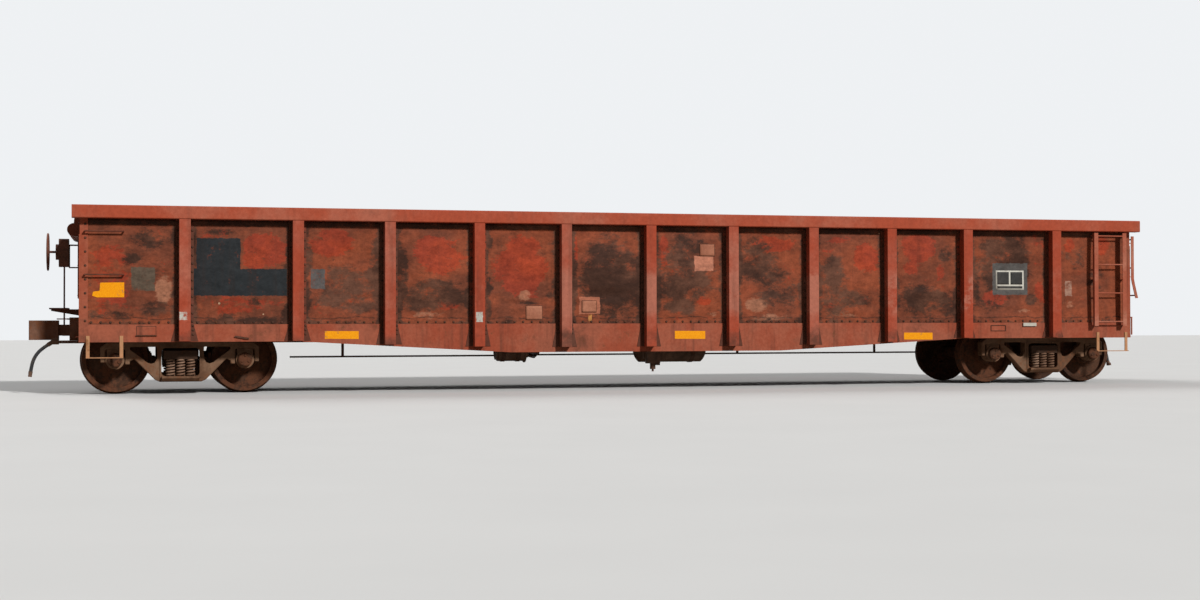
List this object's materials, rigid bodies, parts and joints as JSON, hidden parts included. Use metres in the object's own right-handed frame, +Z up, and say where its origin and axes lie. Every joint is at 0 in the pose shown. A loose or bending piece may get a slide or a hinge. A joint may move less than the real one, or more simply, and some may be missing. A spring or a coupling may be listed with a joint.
{
  "type": "mill gondola wagon",
  "caption": "Open-topped high-sided steel freight wagon with a flat floor, fish-bellied side sills, outside posts, two four-wheel trucks and knuckle couplers.",
  "frame": {"origin": "on the plane under the wheel flanges, at the middle of the wagon", "axes": "+X along the wagon, away from the end with the hand brake; +Y across it; +Z up"},
  "size_m": [17.7296, 3.222, 2.6164],
  "materials": {
    "body_red": "weathered oxide-red paint with rust and soot",
    "rusted_plate": "scraped, rusted steel plate",
    "underframe": "old paint under brown dust",
    "safety_bars": "worn red paint over rust",
    "brake_gear": "dark, greasy and dusty",
    "truck_castings": "rust-brown cast steel",
    "spring_steel": "rusty coil springs",
    "wheel_steel": "rust-brown wheels with oily centres",
    "coupler_castings": "rusty cast steel",
    "hose_rubber": "dull black hose"
  },
  "bodies": {
    "wagon": {"air_hose_a": "hose_rubber", "air_hose_b": "hose_rubber", "air_reservoir": "brake_gear", "body_bolsters": "underframe", "brake_bracket": "brake_gear", "brake_cylinder": "brake_gear", "brake_hangers": "brake_gear", "brake_housing": "brake_gear", "brake_levers": "brake_gear", "brake_rod": "brake_gear", "brake_step": "brake_gear", "brake_wheel": "brake_gear", "centre_plates": "underframe", "centre_sill": "underframe", "control_valve": "brake_gear", "corner_posts": "body_red", "crossbearers": "underframe", "draft_gears": "underframe", "end_ladders": "safety_bars", "end_sheets": "rusted_plate", "end_sills": "body_red", "end_top_rails": "body_red", "floor_plate": "rusted_plate", "floor_stringers": "underframe", "glad_hand_a": "brake_gear", "glad_hand_b": "brake_gear", "handholds": "safety_bars", "side_ladders": "safety_bars", "side_posts": "body_red", "side_sheets": "body_red", "side_sills": "body_red", "sill_steps": "safety_bars", "strikers": "coupler_castings", "top_chords": "body_red", "train_pipe": "brake_gear", "uncoupling_levers": "brake_gear"},
    "truck_b": {"side_frames_b": "truck_castings", "truck_bolster_b": "truck_castings", "springs_b": "spring_steel", "brake_beams_b": "truck_castings", "bearing_adapters_b": "truck_castings"},
    "wheelset_b1": {"wheelset_b1": "wheel_steel"},
    "wheelset_b2": {"wheelset_b2": "wheel_steel"},
    "coupler_b": {"coupler_b": "coupler_castings"},
    "knuckle_b": {"knuckle_b": "coupler_castings"},
    "truck_a": {"side_frames_a": "truck_castings", "truck_bolster_a": "truck_castings", "springs_a": "spring_steel", "brake_beams_a": "truck_castings", "bearing_adapters_a": "truck_castings"},
    "wheelset_a1": {"wheelset_a1": "wheel_steel"},
    "wheelset_a2": {"wheelset_a2": "wheel_steel"},
    "coupler_a": {"coupler_a": "coupler_castings"},
    "knuckle_a": {"knuckle_a": "coupler_castings"}
  },
  "joints": [
    {"name": "truck_b_swivel", "type": "hinge", "parent": "wagon", "child": "truck_b", "pos_m": [-6.775, 0, 0.6794], "axis": [0, 0, 1], "range_deg": [-7, 7]},
    {"name": "wheelset_b1_roll", "type": "hinge", "parent": "truck_b", "child": "wheelset_b1", "pos_m": [-7.664, 0, 0.4826], "axis": [0, 1, 0], "continuous": true},
    {"name": "wheelset_b2_roll", "type": "hinge", "parent": "truck_b", "child": "wheelset_b2", "pos_m": [-5.886, 0, 0.4826], "axis": [0, 1, 0], "continuous": true},
    {"name": "coupler_b_swing", "type": "hinge", "parent": "wagon", "child": "coupler_b", "pos_m": [-8.07, 0, 0.9014], "axis": [0, 0, 1], "range_deg": [-7, 7]},
    {"name": "knuckle_b_open", "type": "hinge", "parent": "coupler_b", "child": "knuckle_b", "pos_m": [-8.635, 0.098, 0.9014], "axis": [0, 0, -1], "range_deg": [0, 50]},
    {"name": "truck_a_swivel", "type": "hinge", "parent": "wagon", "child": "truck_a", "pos_m": [6.775, 0, 0.6794], "axis": [0, 0, 1], "range_deg": [-7, 7]},
    {"name": "wheelset_a1_roll", "type": "hinge", "parent": "truck_a", "child": "wheelset_a1", "pos_m": [5.886, 0, 0.4826], "axis": [0, 1, 0], "continuous": true},
    {"name": "wheelset_a2_roll", "type": "hinge", "parent": "truck_a", "child": "wheelset_a2", "pos_m": [7.664, 0, 0.4826], "axis": [0, 1, 0], "continuous": true},
    {"name": "coupler_a_swing", "type": "hinge", "parent": "wagon", "child": "coupler_a", "pos_m": [8.07, 0, 0.9014], "axis": [0, 0, 1], "range_deg": [-7, 7]},
    {"name": "knuckle_a_open", "type": "hinge", "parent": "coupler_a", "child": "knuckle_a", "pos_m": [8.635, -0.098, 0.9014], "axis": [0, 0, -1], "range_deg": [0, 50]}
  ]
}
